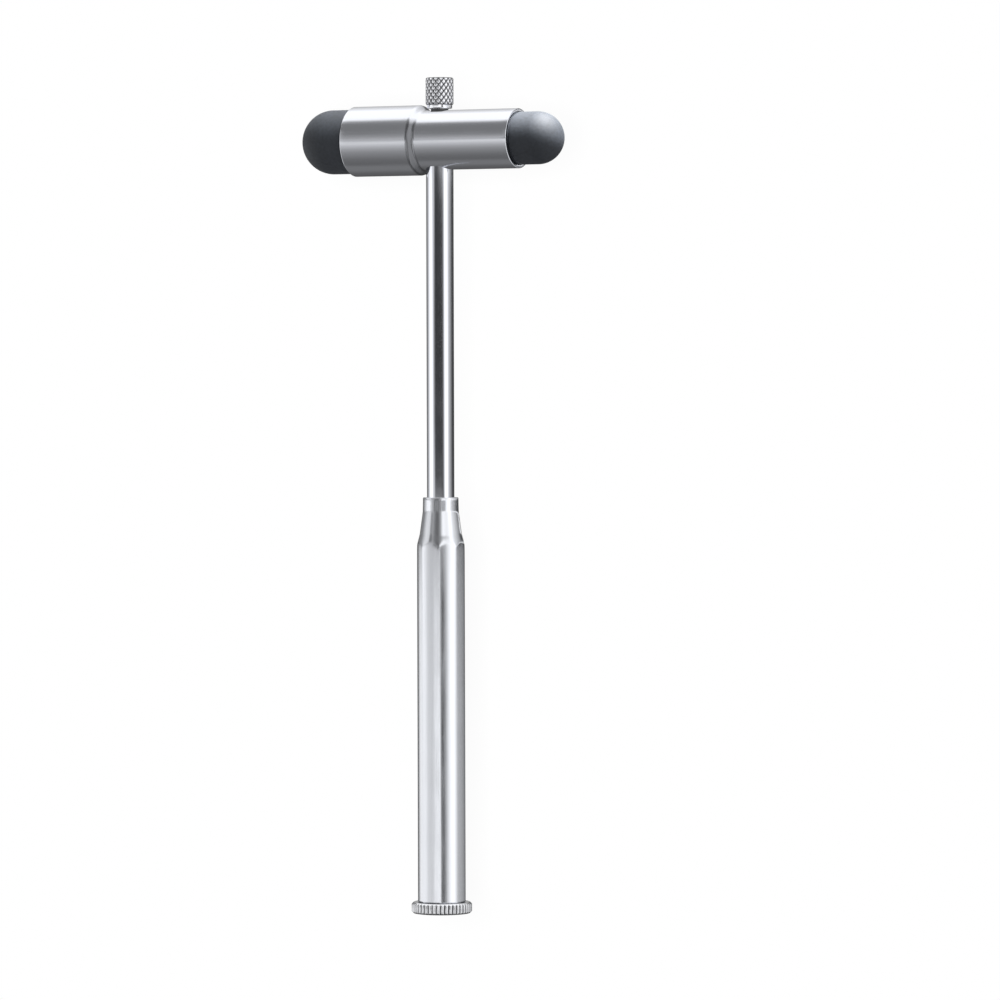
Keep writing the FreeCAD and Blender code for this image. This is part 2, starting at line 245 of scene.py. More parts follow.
def screwThread(along, angles, screw, room=0.0):
    # radius of a screw thread: sharp crests and round roots. Depth at a place is
    # |sin(pi p)| ^ 0.8, with p the turns from the crest. A male thread grows from its root over
    # half a turn at each end, and a female one, which has room round it, runs right through
    turns = (along[:, None] - screw["start"]) / screw["pitch"] - angles[None, :] / (2 * np.pi)
    valley = np.abs(np.sin(np.pi * turns)) ** 0.8
    run = np.minimum(along - screw["start"], screw["end"] - along) / (0.5 * screw["pitch"])
    grown = np.clip(run, 0, 1)[:, None] if room == 0 else 1.0
    return screw["crest"] - screw["depth"] + screw["depth"] * (1 - valley) * grown + room


def meshObject(name, points, faces, sharp=35.0):
    # metres from millimetres, faces turned outwards by the sign of the volume they enclose
    mesh = bpy.data.meshes.new(name)
    points = np.asarray(points, dtype=float)
    triangles = np.array([(f[0], f[i], f[i + 1]) for f in faces for i in range(1, len(f) - 1)])
    a, b, c = (points[triangles[:, k]] for k in range(3))
    if np.einsum("ij,ij->i", a, np.cross(b, c)).sum() < 0:
        faces = [tuple(reversed(f)) for f in faces]
    mesh.from_pydata((points * mm).tolist(), [], faces)
    mesh.update()
    mesh.shade_smooth()
    mesh.set_sharp_from_angle(angle=math.radians(sharp))
    thing = bpy.data.objects.new(name, mesh)
    scene.collection.objects.link(thing)
    return thing


def ridePiece(piece, body, replaced):
    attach(piece, body)
    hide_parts(replaced)


def nodeBox(name):
    low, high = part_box(name)
    return np.array(low) / mm, np.array(high) / mm


# ---- studio ----
studio = {"background": "#FFFFFF", "floorLevel": "#6E6E70", "envStrength": 1.7, "plainLevel": 0.2,
          "floorGlow": 1.0, "contactReach": 0.006, "contactDepth": 0.06}

# a piece's light has no share of the directions at its first number and all of them at its second.
# The numbers are X for knob, cone, grip, above and below, the size of X for besideShaft, and the
# distance in Y from barrelY for barrel and from stepY for step
zones = {"knob": (0.035, 0.042), "cone": (0.056, 0.075), "grip": (-0.027, -0.036),
         "above": (0.42, 0.5), "below": (-0.12, -0.16), "besideShaft": (0.01, 0.03),
         "barrelY": 0.465, "barrel": (0.16, 0.07), "stepY": 0.2, "step": (0.55, 0.4)}


def rampOver(tree, angle, stops):
    # grey level against an angle from -180 to 180 degrees, given as pairs of angle and level
    place = addNode(tree, "ShaderNodeMapRange", {"From Min": -180, "From Max": 180}, {"Value": angle})
    ramp = addNode(tree, "ShaderNodeValToRGB", None, {"Fac": place.outputs["Result"]})
    fillRamp(ramp, [((at + 180) / 360, level) for at, level in stops])
    return ramp.outputs["Color"]


def angleOf(tree, over, under):
    # the angle whose tangent is over / under, in degrees
    return compute(tree, "MULTIPLY", compute(tree, "ARCTAN2", over, under), 180 / math.pi)


def paintWorld():
    # what metal sees. The lean of a direction is its angle about the hammer's axis, from overhead
    # towards -Y. For the shaft and, closer together, for the cone: a soft box each side of a dark
    # gap over the lens. For the grip: a wide soft box from the +Y side to past overhead, and a lower
    # one on the -Y side. For the head, by its climb, the angle from overhead towards +X: a bright
    # wall beyond the head and a dim strip overhead
    world = bpy.data.worlds.new("studio")
    scene.world = world
    world.use_nodes = True
    tree = world.node_tree
    tree.nodes.clear()
    direction = addNode(tree, "ShaderNodeTexCoord").outputs["Generated"]
    split = addNode(tree, "ShaderNodeSeparateXYZ", None, {0: direction}).outputs
    lean = angleOf(tree, compute(tree, "MULTIPLY", split["Y"], -1.0), split["Z"])
    climb = angleOf(tree, split["X"], split["Z"])
    byShaft = rampOver(tree, lean, (
        (-180, 0.06), (-125, 0.1), (-113, 0.14), (-95, 0.31), (-79, 0.68), (-68, 0.95), (-60, 1.0),
        (-46, 1.0), (-40, 0.8), (-36, 0.58), (-28, 0.32), (-20, 0.1), (-11, 0.036), (33, 0.036),
        (42, 0.05), (50, 0.12), (58, 0.42), (64, 0.85), (70, 1.0), (88, 1.0), (96, 0.7), (101, 0.5),
        (110, 0.37), (127, 0.2), (144, 0.05), (180, 0.05)))
    byCone = rampOver(tree, lean, (
        (-180, 0.08), (-125, 0.13), (-95, 0.2), (-83, 0.36), (-73, 0.5), (-62, 0.67), (-50, 0.65),
        (-36, 0.6), (-28, 0.54), (-22, 0.4), (-15, 0.24), (-8, 0.18), (0, 0.13), (6, 0.11),
        (12, 0.13), (18, 0.18), (24, 0.27), (30, 0.45), (35, 0.75), (41, 0.93), (60, 0.8),
        (70, 0.86), (81, 1.0), (92, 1.0), (100, 0.78), (108, 0.64), (118, 0.56), (127, 0.45),
        (139, 0.34), (150, 0.2), (158, 0.08), (180, 0.05)))
    byGrip = rampOver(tree, lean, (
        (-180, 0.06), (-130, 0.08), (-123, 0.12), (-120, 0.28), (-117, 0.5), (-112, 0.76),
        (-52, 0.78), (-34, 0.84), (-15, 0.9), (34, 0.9), (41, 0.66), (44, 0.42), (47, 0.2),
        (50, 0.06), (54, 0.06), (56.5, 0.16), (59, 0.38), (61, 0.58), (63.5, 0.76), (66, 0.94),
        (68, 1.04), (75, 1.0), (80, 0.76), (94, 0.62), (129, 0.5), (140, 0.4), (152, 0.33),
        (157, 0.27), (163, 0.22), (168, 0.13), (173, 0.05), (180, 0.04)))
    byHead = rampOver(tree, climb, (
        (-180, 0.05), (-131, 0.1), (-112, 0.155), (-95, 0.16), (-83, 0.11), (-70, 0.12),
        (-59, 0.145), (-47, 0.19), (-36, 0.24), (-27, 0.32), (-18, 0.43), (-13, 0.52), (-9, 0.6),
        (-5, 0.61), (1, 0.46), (4, 0.39), (8, 0.32), (14, 0.24), (20, 0.19), (27, 0.165),
        (43, 0.165), (58, 0.18), (65, 0.24), (69, 0.42), (72, 0.68), (76, 1.0), (118, 1.0),
        (127, 0.78), (140, 0.58), (152, 0.44), (180, 0.2)))

    def mixed(share, under, over):
        return addNode(tree, "ShaderNodeMix", {"data_type": "RGBA"}, {0: share, 6: under, 7: over}).outputs[2]

    def within(value, zone):
        return smoothShare(tree, value, *zones[zone])

    def offMiddle(zone):
        return compute(tree, "ABSOLUTE", compute(tree, "SUBTRACT", split["Y"], zones[zone]))

    # the knob's light rises evenly with the lean
    rise = {"From Min": 5, "From Max": 50, "To Min": 0.2, "To Max": 1.15}
    byKnob = addNode(tree, "ShaderNodeMapRange", rise, {"Value": lean}).outputs[0]
    around = mixed(within(split["X"], "knob"), byShaft, byKnob)
    around = mixed(within(split["X"], "cone"), around, byCone)
    around = mixed(within(split["X"], "grip"), around, byGrip)
    # the head's light is what the barrels send back, what its step sends back and all that is
    # far up
    besideShaft = within(compute(tree, "ABSOLUTE", split["X"]), "besideShaft")
    nearBarrel = compute(tree, "MULTIPLY", within(offMiddle("barrelY"), "barrel"), besideShaft)
    nearStep = compute(tree, "MINIMUM", within(offMiddle("stepY"), "step"), within(split["X"], "below"))
    beyond = compute(tree, "MAXIMUM", within(split["X"], "above"), nearStep)
    seen = mixed(compute(tree, "MAXIMUM", nearBarrel, beyond), around, byHead)
    path = addNode(tree, "ShaderNodeLightPath")
    glossy = addNode(tree, "ShaderNodeBackground", {"Strength": studio["envStrength"]}, {"Color": seen})
    plain = addNode(tree, "ShaderNodeBackground", {"Color": (1, 1, 1, 1), "Strength": studio["plainLevel"]})
    white = addNode(tree, "ShaderNodeBackground", {"Color": hexLinear(studio["background"]), "Strength": 1.0})
    lit = addNode(tree, "ShaderNodeMixShader", None,
                  {0: path.outputs["Is Glossy Ray"], 1: plain.outputs[0], 2: glossy.outputs[0]})
    shown = addNode(tree, "ShaderNodeMixShader", None,
                    {0: path.outputs["Is Camera Ray"], 1: lit.outputs[0], 2: white.outputs[0]})
    addNode(tree, "ShaderNodeOutputWorld", None, {"Surface": shown.outputs[0]})


def addFloor():
    # a pale table top at the height of the hammer's lowest point. The camera sees it glowing near
    # white, with a painted contact shadow where the hammer almost touches it
    half = 3.0
    level = cadBox[0][2]
    corners = [(-half, -half, level), (half, -half, level), (half, half, level), (-half, half, level)]
    mesh = bpy.data.meshes.new("floor")
    mesh.from_pydata(corners, [], [(0, 1, 2, 3)])
    floor = bpy.data.objects.new("floor", mesh)
    scene.collection.objects.link(floor)
    material, tree, shader = newMaterial("paleTable")
    shader.inputs["Base Color"].default_value = hexLinear(studio["floorLevel"])
    shader.inputs["Roughness"].default_value = 0.9
    # painted contact shadow: ambient occlusion dims the floor's glow where the hammer comes close
    near = addNode(tree, "ShaderNodeAmbientOcclusion", {"samples": 8, "Distance": studio["contactReach"]})
    light = addNode(tree, "ShaderNodeMapRange", {"To Min": studio["floorGlow"] - studio["contactDepth"],
                                                 "To Max": studio["floorGlow"]}, {"Value": near.outputs["AO"]})
    glow = addNode(tree, "ShaderNodeEmission", {"Color": (1, 1, 1, 1)}, {"Strength": light.outputs["Result"]})
    path = addNode(tree, "ShaderNodeLightPath")
    both = addNode(tree, "ShaderNodeMixShader", None,
                   {0: path.outputs["Is Camera Ray"], 1: shader.outputs[0], 2: glow.outputs[0]})
    tree.links.new(both.outputs[0], tree.nodes["Material Output"].inputs["Surface"])
    giveMaterial(floor, material)
    floor.visible_glossy = False


def addLamp(name, towards, spread, strength, lit, blockers):
    # a soft distant lamp that lights only the lit pieces and is shaded only by the blockers
    data = bpy.data.lights.new(name, "SUN")
    data.angle = math.radians(spread)
    data.energy = strength
    lamp = bpy.data.objects.new(name, data)
    lamp.rotation_euler = Vector(towards).to_track_quat("Z", "Y").to_euler()
    scene.collection.objects.link(lamp)
    for role, pieces in (("receiver", lit), ("blocker", blockers)):
        group = bpy.data.collections.new(name + role.title())
        for piece in pieces:
            group.objects.link(piece)
        setattr(lamp.light_linking, role + "_collection", group)


paintWorld()
addFloor()
print("studio built")


# ---- where the solids are ----
gripLow, gripHigh = nodeBox("grip_body")
barrelLow, barrelHigh = nodeBox("head_barrel")
knobLow, knobHigh = nodeBox("needle_knob")
shaftEnd = nodeBox("shaft_tube")[1][0]
largeRadius = 7.55
headAxis = barrelHigh[0] - largeRadius
seatRadius = 2.96  # of the shaft's seats in head and grip


# ---- materials ----
def noise(tree, where, size, detail):
    # soft noise whose blotches are about this many millimetres wide
    settings = {"Scale": 1 / (size * mm), "Detail": detail}
    return addNode(tree, "ShaderNodeTexNoise", settings, {"Vector": where}).outputs["Fac"]


def shades(tree, colour, low, high, share):
    # from the colour times low to the colour times high, as the share goes from 0 to 1
    ends = {"data_type": "RGBA", 6: dimmed(colour, low), 7: dimmed(colour, high)}
    return addNode(tree, "ShaderNodeMix", ends, {0: share}).outputs[2]


def emboss(tree, shader, height, strength, depth):
    # fine relief, depth millimetres deep where the height is full
    settings = {"Strength": strength, "Distance": depth * mm}
    bump = addNode(tree, "ShaderNodeBump", settings, {"Height": height})
    tree.links.new(bump.outputs["Normal"], shader.inputs["Normal"])


def brushedSteel(name, colour, roughness, grainAlong, dullAndShadedStep=None):
    # stainless steel, satin-brushed: fine lines, 0.2 mm apart and 60 times longer, that spread
    # the reflections across them and vary their strength a little. Where the step's settings are given,
    # it is rougher near that place along Y, and there its colour is darkened as painted shade, below the
    # head's top
    material, tree, shader = newMaterial(name)
    where = addNode(tree, "ShaderNodeTexCoord").outputs["Object"]
    across = 1 / (0.2 * mm)
    scale = [across, across, across]
    scale["XYZ".index(grainAlong)] = across / 60
    stretched = addNode(tree, "ShaderNodeMapping", {"Scale": scale}, {"Vector": where})
    lines = addNode(tree, "ShaderNodeTexNoise", {"Scale": 1.0, "Detail": 3.0, "Roughness": 0.6},
                    {"Vector": stretched.outputs[0]})
    both = addNode(tree, "ShaderNodeMix", {"data_type": "FLOAT", 0: 0.3},
                   {2: lines.outputs["Fac"], 3: noise(tree, where, 9, 2.0)})
    rough = addNode(tree, "ShaderNodeMapRange", {"From Min": 0.3, "From Max": 0.7,
                                                 "To Min": roughness - 0.05, "To Max": roughness + 0.06},
                    {"Value": both.outputs[0]})
    emboss(tree, shader, lines.outputs["Fac"], 0.12, 0.02)
    metal = hexLinear(colour)
    shader.inputs["Base Color"].default_value = metal
    shader.inputs["Metallic"].default_value = 1.0
    tree.links.new(rough.outputs["Result"], shader.inputs["Roughness"])
    if dullAndShadedStep:
        split = addNode(tree, "ShaderNodeSeparateXYZ", None, {0: where}).outputs
        away = compute(tree, "ABSOLUTE", compute(tree, "SUBTRACT", split["Y"], dullAndShadedStep["place"] * mm))
        close = smoothShare(tree, away, dullAndShadedStep["reach"] * mm, 0.4 * dullAndShadedStep["reach"] * mm)
        fade = {"From Min": (headAxis + dullAndShadedStep["top"]) * mm, "From Max": (headAxis + dullAndShadedStep["full"]) * mm}
        low = addNode(tree, "ShaderNodeMapRange", fade, {"Value": split["X"]}).outputs[0]
        # painted shade: near darkens the base colour to share of itself close to the step, below the head's
        # top and not above it; the metal is also rougher there
        near = compute(tree, "MULTIPLY", close, low)
        rougher = addNode(tree, "ShaderNodeMix", {"data_type": "FLOAT", 3: dullAndShadedStep["roughness"]},
                          {0: near, 2: rough.outputs["Result"]})
        tree.links.new(shades(tree, metal, 1.0, dullAndShadedStep["share"], near), shader.inputs["Base Color"])
        tree.links.new(rougher.outputs[0], shader.inputs["Roughness"])
    return material


def polishedSteel(name, colour, roughness):
    # stainless steel, mirror-polished: only faint handling haze breaks the reflections
    material, tree, shader = newMaterial(name)
    where = addNode(tree, "ShaderNodeTexCoord").outputs["Object"]
    rough = addNode(tree, "ShaderNodeMapRange", {"From Min": 0.35, "From Max": 0.7,
                                                 "To Min": roughness, "To Max": 1.4 * roughness},
                    {"Value": noise(tree, where, 6, 4.0)})
    shader.inputs["Base Color"].default_value = hexLinear(colour)
    shader.inputs["Metallic"].default_value = 1.0
    tree.links.new(rough.outputs["Result"], shader.inputs["Roughness"])
    return material


def groovedSteel(name, colour, roughness, deep, crown, inner=0.0, plain=()):
    # stainless steel, knurled by rolling: bright crowns, and rougher grooves whose colour is darkened
    # as painted shade. They are told apart by their distance in millimetres from the X axis, but the metal is
    # free of the painted shade within the distance inner, and as free of it as plain says between its places
    # along X
    material, tree, shader = newMaterial(name)
    where = addNode(tree, "ShaderNodeTexCoord").outputs["Object"]
    split = addNode(tree, "ShaderNodeSeparateXYZ", None, {0: where}).outputs
    flat = addNode(tree, "ShaderNodeVectorMath", {"operation": "MULTIPLY", 1: (0, 1 / mm, 1 / mm)}, {0: where})
    length = addNode(tree, "ShaderNodeVectorMath", {"operation": "LENGTH"}, {0: flat.outputs[0]})
    distance = length.outputs["Value"]
    height = addNode(tree, "ShaderNodeMapRange", {"From Min": deep, "From Max": crown}, {"Value": distance})
    unshaded = compute(tree, "MAXIMUM", height.outputs[0], compute(tree, "LESS_THAN", distance, inner))
    for low, high, share in plain:
        inside = compute(tree, "COMPARE", split["X"], 0.5 * (low + high) * mm, 0.5 * (high - low) * mm)
        unshaded = compute(tree, "MAXIMUM", unshaded, compute(tree, "MULTIPLY", inside, share))
    # painted shade: the colour falls to 0.12 of itself in the grooves, recesses and chamfers
    tint = shades(tree, hexLinear(colour), 0.12, 1.0, unshaded)
    rough = addNode(tree, "ShaderNodeMapRange", {"To Min": 0.45, "To Max": roughness}, {"Value": unshaded})
    tree.links.new(tint, shader.inputs["Base Color"])
    tree.links.new(rough.outputs["Result"], shader.inputs["Roughness"])
    shader.inputs["Metallic"].default_value = 1.0
    return material


def mouldedRubber(name, colour):
    # nitrile rubber, moulded: a dull dark grey with a soft wide sheen and a fine mould grain
    material, tree, shader = newMaterial(name)
    where = addNode(tree, "ShaderNodeTexCoord").outputs["Object"]
    grain = noise(tree, where, 0.7, 3.0)
    both = addNode(tree, "ShaderNodeMix", {"data_type": "FLOAT", 0: 0.35},
                   {2: grain, 3: noise(tree, where, 5, 2.0)})
    stretch = {"From Min": 0.35, "From Max": 0.65}
    spread = addNode(tree, "ShaderNodeMapRange", stretch, {"Value": both.outputs[0]})
    tint = shades(tree, hexLinear(colour), 0.78, 1.22, spread.outputs[0])
    tree.links.new(tint, shader.inputs["Base Color"])
    shader.inputs["Roughness"].default_value = 0.72
    shader.inputs["Specular IOR Level"].default_value = 0.7
    emboss(tree, shader, grain, 0.5, 0.05)
    return material


def nylonBristle(name, colour):
    # nylon monofilament, drawn and dyed black: a narrow sheen along each strand
    material, tree, shader = newMaterial(name)
    where = addNode(tree, "ShaderNodeTexCoord").outputs["Object"]
    tint = shades(tree, hexLinear(colour), 0.6, 2.2, noise(tree, where, 0.4, 1.0))
    tree.links.new(tint, shader.inputs["Base Color"])
    shader.inputs["Roughness"].default_value = 0.35
    return material


def castResin(name, colour):
    # epoxy resin, poured round the bristles' roots: glossy dark amber with a slight orange-peel
    material, tree, shader = newMaterial(name)
    where = addNode(tree, "ShaderNodeTexCoord").outputs["Object"]
    peel = noise(tree, where, 0.8, 2.0)
    tree.links.new(shades(tree, hexLinear(colour), 0.8, 1.2, peel), shader.inputs["Base Color"])
    emboss(tree, shader, peel, 0.3, 0.05)
    shader.inputs["Roughness"].default_value = 0.2
    return material


gripSteel = brushedSteel("stainlessSteelBrushedLengthwise", "#CED0D5", 0.15, "X")
# the head's step ring is rougher, and darkened as painted shade on its lower side
headSteel = brushedSteel("stainlessSteelBrushedAcross", "#C9CBD1", 0.16, "Y", {
    "place": 3.8, "reach": 1.0, "top": 4.6, "full": 3.2, "share": 0.28, "roughness": 0.32})
brightSteel = polishedSteel("stainlessSteelPolished", "#D2D4DA", 0.045)
turnedSteel = polishedSteel("stainlessSteelTurned", "#BDBEC1", 0.16)
rubber = mouldedRubber("nitrileRubberMoulded", "#32373F")
nylon = nylonBristle("nylonMonofilament", "#0C0C0D")
resin = castResin("epoxyResinCast", "#3A2A1C")
print("materials mixed")


# ---- screw threads, each cut outside and inside from the same sizes ----
brushScrew = {"start": gripLow[0] + 1.5, "end": gripLow[0] + 6.6, "crest": 3.65, "depth": 0.6,
              "pitch": 1.0}
needleScrew = {"start": knobLow[0], "end": knobLow[0] + 2.66, "crest": 1.55, "depth": 0.42,
               "pitch": 0.7}
threadRoom = 0.05


# ---- head ----
head = {"smallRadius": 6.4, "largeRadius": largeRadius, "stepFoot": 3.3, "stepCrest": 4.2, "stepRound": 1.0,
        "largeWall": 0.6, "smallWall": 0.75, "largeSocket": 9.0, "smallSocket": 8.0, "rim": 0.2,
        "columns": 256, "spotRadius": 2.8, "spotDepth": 0.4, "holeColumns": 48, "holeReach": 12}


def buildHead():
    # a stepped barrel turned about Y, open at both ends for the bumpers, less a stepped cross hole
    # about X: the shaft's seat, the needle's thread and the spot face that its collar rests on
    low, high = barrelLow[1], barrelHigh[1]
    inSmall = head["smallRadius"] - head["smallWall"]
    inLarge = head["largeRadius"] - head["largeWall"]
    profile = roundCorners([
        (low + head["smallSocket"], 0, 0), (low + head["smallSocket"], inSmall, 0.3), (low, inSmall, 0.08),
        (low, head["smallRadius"], head["rim"]), (head["stepFoot"], head["smallRadius"], head["stepRound"]),
        (head["stepCrest"], head["largeRadius"], head["stepRound"]), (high, head["largeRadius"], head["rim"]),
        (high, inLarge, 0.08), (high - head["largeSocket"], inLarge, 0.3), (high - head["largeSocket"], 0, 0)])
    profile = fillRows(profile, 1.5)[1:-1]
    barrel = spinProfile(profile.T, evenAngles(head["columns"]))
    barrel = barrel[:, :, [1, 0, 2]] + np.array([headAxis, 0, 0])
    piece = turnedMesh("headBarrel", barrel)

    seat = headAxis + head["smallRadius"] - head["spotDepth"]
    bottom, top = headAxis - head["holeReach"], headAxis + head["holeReach"]
    columns = head["holeColumns"]
    angles = evenAngles(columns)
    hole = np.array([(bottom, 0.01), (bottom, seatRadius), (shaftEnd, seatRadius)])
    deep = np.arange(shaftEnd + 0.01, seat - 0.01, needleScrew["pitch"] / 10)
    cut = screwThread(deep, angles, needleScrew, threadRoom)
    spot = np.array([(seat, head["spotRadius"]), (top, head["spotRadius"]), (top, 0.01)])
    along = np.concatenate([hole[:, 0], deep, spot[:, 0]])
    out = np.vstack([np.tile(hole[:, 1:], (1, columns)), cut, np.tile(spot[:, 1:], (1, columns))])
    cutter = turnedMesh("crossHole", spinProfile((along, out), angles))
    subtract(piece, cutter)
    return piece


def subtract(piece, cutter):
    # the piece less the cutter, which is then thrown away
    tool = piece.modifiers.new("cut", "BOOLEAN")
    tool.operation = "DIFFERENCE"
    tool.solver = "EXACT"
    tool.object = cutter
    bpy.context.view_layer.update()
    evaluated = piece.evaluated_get(bpy.context.evaluated_depsgraph_get())
    result = bpy.data.meshes.new_from_object(evaluated)
    piece.modifiers.clear()
    piece.data = result
    piece.data.shade_smooth()
    piece.data.set_sharp_from_angle(angle=math.radians(30))
    bpy.data.objects.remove(cutter)


headPiece = buildHead()
giveMaterial(headPiece, headSteel)
ridePiece(headPiece, "hammer", "head_barrel")


# ---- bumpers ----
bumpers = {"columns": 160, "reveal": 0.3, "revealWidth": 0.4, "plugEdge": 0.5}


def buildBumper(name, node, rim, side):
    # a plug in its socket and a half-round nose, with a fine step where the rubber leaves the rim
    low, high = nodeBox(node)
    radius = (high[0] - low[0]) / 2
    foot, tip = (low[1], high[1]) if side > 0 else (high[1], low[1])
    noseStart = tip - side * radius
    sunk, stepEnd = radius - bumpers["reveal"], rim + side * bumpers["revealWidth"]
    profile = roundCorners([
        (foot, 0, 0), (foot, radius, bumpers["plugEdge"]), (rim, radius, 0), (rim, sunk, 0),
        (stepEnd, sunk, 0.06), (stepEnd, radius, 0.1), (noseStart, radius, 0)])
    quarter = np.linspace(0, np.pi / 2, 41)[1:-1, None]
    nose = np.hstack([noseStart + side * radius * np.sin(quarter), radius * np.cos(quarter)])
    profile = np.vstack([fillRows(profile, 1.5)[1:], nose])
    rows = spinProfile(profile.T, evenAngles(bumpers["columns"]))
    rows = rows[:, :, [1, 0, 2]] + np.array([headAxis, 0, 0])
    piece = turnedMesh(name, rows)
    giveMaterial(piece, rubber)
    ridePiece(piece, "hammer", node)
    return piece


large = buildBumper("largeBumper", "large_bumper", barrelHigh[1], 1)
small = buildBumper("smallBumper", "small_bumper", barrelLow[1], -1)
# a low window beyond the head, brighter at the small bumper's side
addLamp("windowFar", (0.88, -0.3, -0.12), 30, 6.4, [large], [large, small, headPiece])
addLamp("windowNear", (0.88, -0.29, -0.12), 30, 20.0, [small], [large, small, headPiece])
print("head built")


# ---- grip ----
grip = {"apothem": 4.95, "crownRadius": 14.4, "cornerSoft": 0.06, "archSoft": 0.05, "perFlat": 26,
        "turnedLength": 12.0, "turnedRadius": 5.64, "coneStart": 7.9, "coneRadius": 4.53, "coneEnd": 3.1,
        "coneTop": 3.875, "collarRadius": 3.815, "collarEdge": 0.18, "mouthEdge": 0.22, "chamber": 4.4,
        "chamberLength": 43.6, "drillPoint": 2.5, "seatDepth": 10.0}


def gripAngles():
    # each of the 8 flats has the same columns, drawn in towards its two corners
    share = np.linspace(-1, 1, grip["perFlat"], endpoint=False)
    within = np.radians(22.5) * (0.3 * share + 0.7 * np.sin(share * np.pi / 2))
    return np.concatenate([within + np.radians(45) * flat for flat in range(8)])


def softLeast(one, other, soft):
    # the smaller of two, with a round change from one to the other
    return 0.5 * (one + other - np.sqrt((one - other) ** 2 + 4 * soft * soft))


def octagonRadius(angles):
    # each flat is an arc of the crown's radius R whose top is at the apothem a. With c = R - a, its
    # radius at the angle t from its middle is sqrt(R^2 - c^2 sin^2 t) - c cos t
    crown = grip["crownRadius"]
    centre = crown - grip["apothem"]
    nearest = np.round(angles / np.radians(45)) * np.radians(45)
    away = angles - nearest
    here = np.sqrt(crown ** 2 - (centre * np.sin(away)) ** 2) - centre * np.cos(away)
    other = np.abs(away) - np.radians(45)
    beside = np.sqrt(crown ** 2 - (centre * np.sin(other)) ** 2) - centre * np.cos(other)
    return softLeast(here, beside, grip["cornerSoft"])


def buildGrip():
    # the octagonal bar, its turned cone and collar, the brush's chamber and the shaft's seat
    bottom, top = gripLow[0], gripHigh[0]
    turnedStart = top - grip["turnedLength"]
    angles = gripAngles()
    addRow, grid = rowKeeper(angles)
    octagon = octagonRadius(angles)
    turned = roundCorners([
        (turnedStart, grip["turnedRadius"], 0), (top - grip["coneStart"], grip["coneRadius"], 6.0),
        (top - grip["coneEnd"], grip["coneTop"], 6.0), (top, grip["collarRadius"], 0)])
    for place, radius in ((top - grip["seatDepth"], 0.5), (top - grip["seatDepth"], seatRadius),
                          (top - 0.1, seatRadius), (top, seatRadius + 0.1)):
        addRow(place, radius)
    for bend in np.linspace(0, np.pi / 2, 6):
        addRow(top - grip["collarEdge"] * (1 - np.cos(bend)),
               grip["collarRadius"] - grip["collarEdge"] * (1 - np.sin(bend)))
    turnedPlaces = np.arange(top - 0.7, turnedStart, -0.14)
    for place in np.concatenate([turnedPlaces, np.linspace(top - 14, bottom + 0.4, 24)]):
        # the turned radius, and beyond the turned end one too large to cut the octagon
        lathe = np.interp(place, turned[:, 0], turned[:, 1]) if place > turnedStart else 9.0
        addRow(place, softLeast(np.full(angles.shape, lathe), octagon, grip["archSoft"]))
    for bend in np.linspace(0, np.pi / 2, 6):
        addRow(bottom + grip["mouthEdge"] * (1 - np.sin(bend)),
               octagon - grip["mouthEdge"] * (1 - np.cos(bend)))
    chamberEnd = bottom + grip["chamberLength"]
    for place, radius in ((bottom, grip["chamber"] + 0.05), (bottom + 0.05, grip["chamber"]),
                          (chamberEnd - 20, grip["chamber"]), (chamberEnd, grip["chamber"]),
                          (chamberEnd + grip["drillPoint"], 0.2)):
        addRow(place, radius)
    piece = turnedMesh("gripSleeve", grid(), sharp=40.0)
    giveMaterial(piece, gripSteel)
    ridePiece(piece, "hammer", "grip_body")


buildGrip()

socket = {"columns": 132, "mouthRadius": 3.95, "leadIn": 0.3}


def buildSocket():
    # the threaded bush in the grip's mouth
    low, high = nodeBox("brush_socket")
    angles = evenAngles(socket["columns"])
    addRow, grid = rowKeeper(angles)
    outer = (high[1] - low[1]) / 2
    addRow(low[0], outer)
    addRow(low[0], socket["mouthRadius"])
    deep = np.arange(low[0] + socket["leadIn"], high[0] - socket["leadIn"], brushScrew["pitch"] / 12)
    for place, radius in zip(deep, screwThread(deep, angles, brushScrew, threadRoom)):
        addRow(place, radius)
    addRow(high[0], socket["mouthRadius"])
    addRow(high[0], outer)
    piece = turnedMesh("brushBush", grid(), ring=True)
    giveMaterial(piece, turnedSteel)
    ridePiece(piece, "hammer", "brush_socket")


buildSocket()
giveMaterial(nodes["shaft_tube"], brightSteel)
nodes["shaft_tube"].visible_glossy = False
print("grip built")


# ---- needle ----
knob = {"radius": 3.0, "collarRadius": 2.7, "collar": 0.75, "reliefRadius": 1.9, "relief": 0.75,
        "neckRadius": 1.3, "neck": 1.64, "edge": 0.25, "diamonds": 16, "diamondLength": 1.38,
        "grooveDepth": 0.15, "grooveShare": 0.5, "pinRadius": 0.73, "pinSeat": 3.0, "pinPoint": 3.9}


